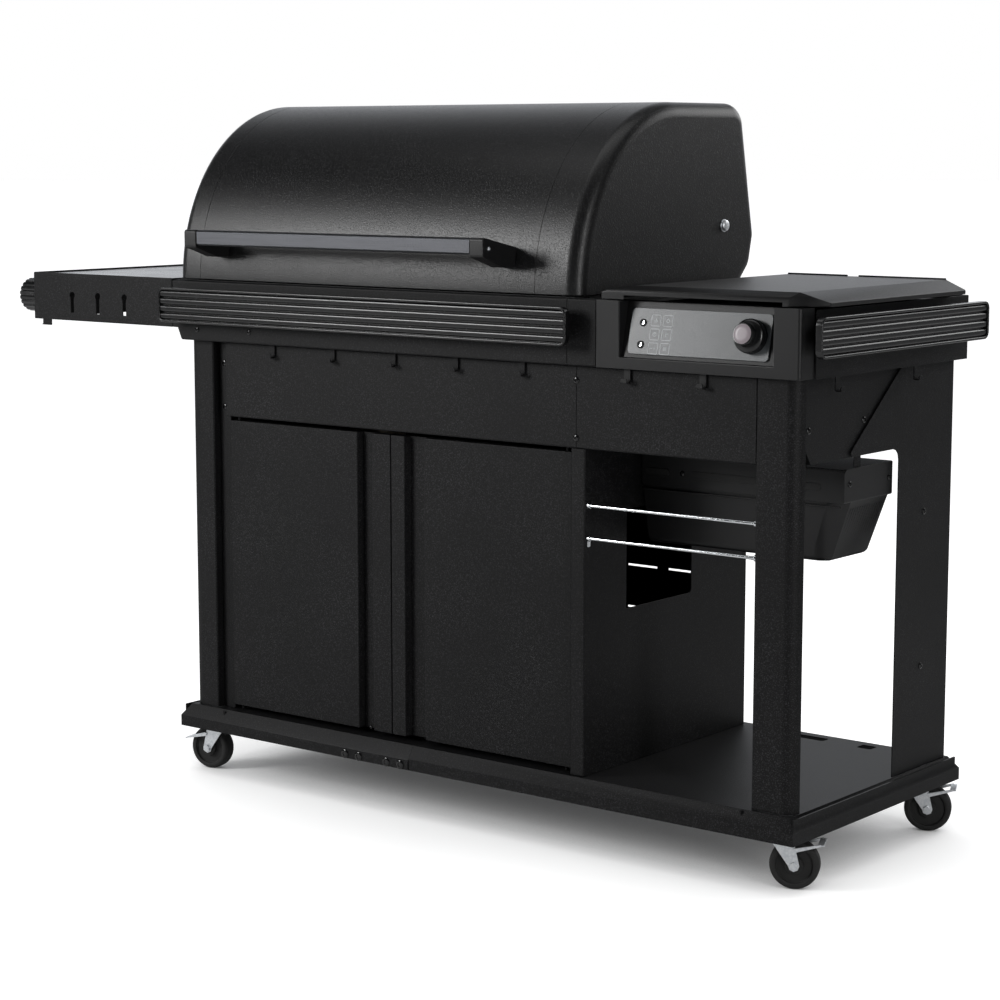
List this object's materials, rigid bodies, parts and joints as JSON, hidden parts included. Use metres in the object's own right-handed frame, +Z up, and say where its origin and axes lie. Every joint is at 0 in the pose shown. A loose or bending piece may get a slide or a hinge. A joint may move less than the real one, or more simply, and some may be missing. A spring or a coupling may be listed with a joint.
{
  "type": "pellet smoker grill",
  "caption": "Wood-pellet smoker grill with a round hood on a cabinet cart: side hopper with a lid, control panel with a knob, ribbed accessory rails and a left cooktop shelf on casters.",
  "frame": {"origin": "middle of the footprint, on the floor", "axes": "+X from the left shelf to the hopper, -Y is the front, +Z up"},
  "size_m": [1.8, 0.614, 1.23],
  "materials": {
    "powder_coat": "fine textured powder coat",
    "satin_enamel": "satin high-temperature coat",
    "moulded_black": "moulded, fine grain",
    "gloss_black": "semi-gloss moulded",
    "ceramic_glass": "polished black ceramic glass",
    "brushed_dark": "brushed, dark anodised",
    "chrome": "polished",
    "zinc": "bright zinc plated",
    "rubber": "moulded tread",
    "grey_panel": "satin grey overlay",
    "bare_steel": "bare, heat stained",
    "cast_iron": "enamelled porcelain"
  },
  "bodies": {
    "cart": {"base_tray_left": "powder_coat", "base_tray_right": "powder_coat", "leg_front_left": "powder_coat", "leg_front_right": "powder_coat", "leg_rear_left": "powder_coat", "leg_rear_right": "powder_coat", "front_beam_left": "powder_coat", "front_beam_right": "powder_coat", "rear_beam": "powder_coat", "cabinet_wall_left": "powder_coat", "cabinet_wall_right": "powder_coat", "cabinet_back": "powder_coat", "fascia_front": "powder_coat", "fascia_filler": "powder_coat", "control_housing": "moulded_black", "control_panel": "grey_panel", "front_rail": "gloss_black", "side_rail": "gloss_black", "side_apron": "powder_coat", "left_shelf": "powder_coat", "cooktop_glass": "ceramic_glass", "hopper": "powder_coat", "bin_cover": "powder_coat", "rod_upper": "chrome", "rod_lower": "chrome", "cooking_tub": "powder_coat", "exhaust_duct": "powder_coat", "grate_left": "cast_iron", "grate_right": "cast_iron", "drip_tray": "bare_steel", "heat_baffle": "bare_steel", "fire_pot": "bare_steel", "auger_motor": "zinc", "blower": "moulded_black", "grease_keg": "bare_steel"},
    "hood": {"hood_shell": "satin_enamel", "hood_cap_left": "satin_enamel", "hood_cap_right": "satin_enamel", "handle_bar": "brushed_dark", "handle_bracket_left": "moulded_black", "handle_bracket_right": "moulded_black"},
    "door_left": {"door_left": "powder_coat"},
    "door_right": {"door_right": "powder_coat"},
    "hopper_lid": {"hopper_lid": "moulded_black"},
    "pellet_bin": {"pellet_bin": "moulded_black"},
    "control_knob": {"control_knob": "moulded_black"},
    "burner_knob": {"burner_knob": "moulded_black"},
    "auger": {"auger_screw": "bare_steel"},
    "caster_front_left": {"caster_fork_front_left": "zinc"},
    "wheel_front_left": {"caster_wheel_front_left": "rubber"},
    "brake_front_left": {"caster_brake_front_left": "zinc"},
    "caster_front_right": {"caster_fork_front_right": "zinc"},
    "wheel_front_right": {"caster_wheel_front_right": "rubber"},
    "brake_front_right": {"caster_brake_front_right": "zinc"},
    "caster_rear_left": {"caster_fork_rear_left": "zinc"},
    "wheel_rear_left": {"caster_wheel_rear_left": "rubber"},
    "brake_rear_left": {"caster_brake_rear_left": "zinc"},
    "caster_rear_right": {"caster_fork_rear_right": "zinc"},
    "wheel_rear_right": {"caster_wheel_rear_right": "rubber"},
    "brake_rear_right": {"caster_brake_rear_right": "zinc"}
  },
  "joints": [
    {"name": "hood_hinge", "type": "hinge", "parent": "cart", "child": "hood", "pos_m": [-0.01, 0.197, 1.021], "axis": [-1, 0, 0], "range_deg": [0, 80]},
    {"name": "door_left_hinge", "type": "hinge", "parent": "cart", "child": "door_left", "pos_m": [-0.341, -0.195, 0.399], "axis": [0, 0, -1], "range_deg": [0, 110]},
    {"name": "door_right_hinge", "type": "hinge", "parent": "cart", "child": "door_right", "pos_m": [0.404, -0.195, 0.399], "axis": [0, 0, 1], "range_deg": [0, 110]},
    {"name": "hopper_lid_hinge", "type": "hinge", "parent": "cart", "child": "hopper_lid", "pos_m": [0.67, 0.252, 0.912], "axis": [-1, 0, 0], "range_deg": [0, 80]},
    {"name": "bin_slide", "type": "slide", "parent": "cart", "child": "pellet_bin", "axis": [1, 0, 0], "range_m": [0, 0.28]},
    {"name": "control_knob_turn", "type": "hinge", "parent": "cart", "child": "control_knob", "pos_m": [0.772, -0.21802, 0.868], "axis": [0, -0.9763, 0.2164], "continuous": true},
    {"name": "burner_knob_turn", "type": "hinge", "parent": "cart", "child": "burner_knob", "pos_m": [-0.851, -0.194, 0.872], "axis": [-1, 0, 0], "range_deg": [0, 270]},
    {"name": "auger_turn", "type": "hinge", "parent": "cart", "child": "auger", "pos_m": [0.4, -0.117, 0.716], "axis": [1, 0, 0], "continuous": true},
    {"name": "caster_swivel_front_left", "type": "hinge", "parent": "cart", "child": "caster_front_left", "pos_m": [-0.413, -0.179, 0.09], "axis": [0, 0, 1], "continuous": true},
    {"name": "wheel_spin_front_left", "type": "hinge", "parent": "caster_front_left", "child": "wheel_front_left", "pos_m": [-0.43467, -0.18282, 0.04], "axis": [0.1736, -0.9848, 0], "continuous": true},
    {"name": "brake_lever_front_left", "type": "hinge", "parent": "caster_front_left", "child": "brake_front_left", "pos_m": [-0.43861, -0.18351, 0.066], "axis": [0.1736, -0.9848, 0], "range_deg": [-28, 0]},
    {"name": "caster_swivel_front_right", "type": "hinge", "parent": "cart", "child": "caster_front_right", "pos_m": [0.813, -0.179, 0.09], "axis": [0, 0, 1], "continuous": true},
    {"name": "wheel_spin_front_right", "type": "hinge", "parent": "caster_front_right", "child": "wheel_front_right", "pos_m": [0.83294, -0.1697, 0.04], "axis": [-0.4226, 0.9063, 0], "continuous": true},
    {"name": "brake_lever_front_right", "type": "hinge", "parent": "caster_front_right", "child": "brake_front_right", "pos_m": [0.83656, -0.16801, 0.066], "axis": [-0.4226, 0.9063, 0], "range_deg": [0, 28]},
    {"name": "caster_swivel_rear_left", "type": "hinge", "parent": "cart", "child": "caster_rear_left", "pos_m": [-0.413, 0.251, 0.09], "axis": [0, 0, 1], "continuous": true},
    {"name": "wheel_spin_rear_left", "type": "hinge", "parent": "caster_rear_left", "child": "wheel_rear_left", "pos_m": [-0.43425, 0.25669, 0.04], "axis": [-0.2588, -0.9659, 0], "continuous": true},
    {"name": "brake_lever_rear_left", "type": "hinge", "parent": "caster_rear_left", "child": "brake_rear_left", "pos_m": [-0.43811, 0.25773, 0.066], "axis": [-0.2588, -0.9659, 0], "range_deg": [0, 28]},
    {"name": "caster_swivel_rear_right", "type": "hinge", "parent": "cart", "child": "caster_rear_right", "pos_m": [0.813, 0.251, 0.09], "axis": [0, 0, 1], "continuous": true},
    {"name": "wheel_spin_rear_right", "type": "hinge", "parent": "caster_rear_right", "child": "wheel_rear_right", "pos_m": [0.83294, 0.2603, 0.04], "axis": [-0.4226, 0.9063, 0], "continuous": true},
    {"name": "brake_lever_rear_right", "type": "hinge", "parent": "caster_rear_right", "child": "brake_rear_right", "pos_m": [0.83656, 0.26199, 0.066], "axis": [-0.4226, 0.9063, 0], "range_deg": [0, 28]}
  ]
}
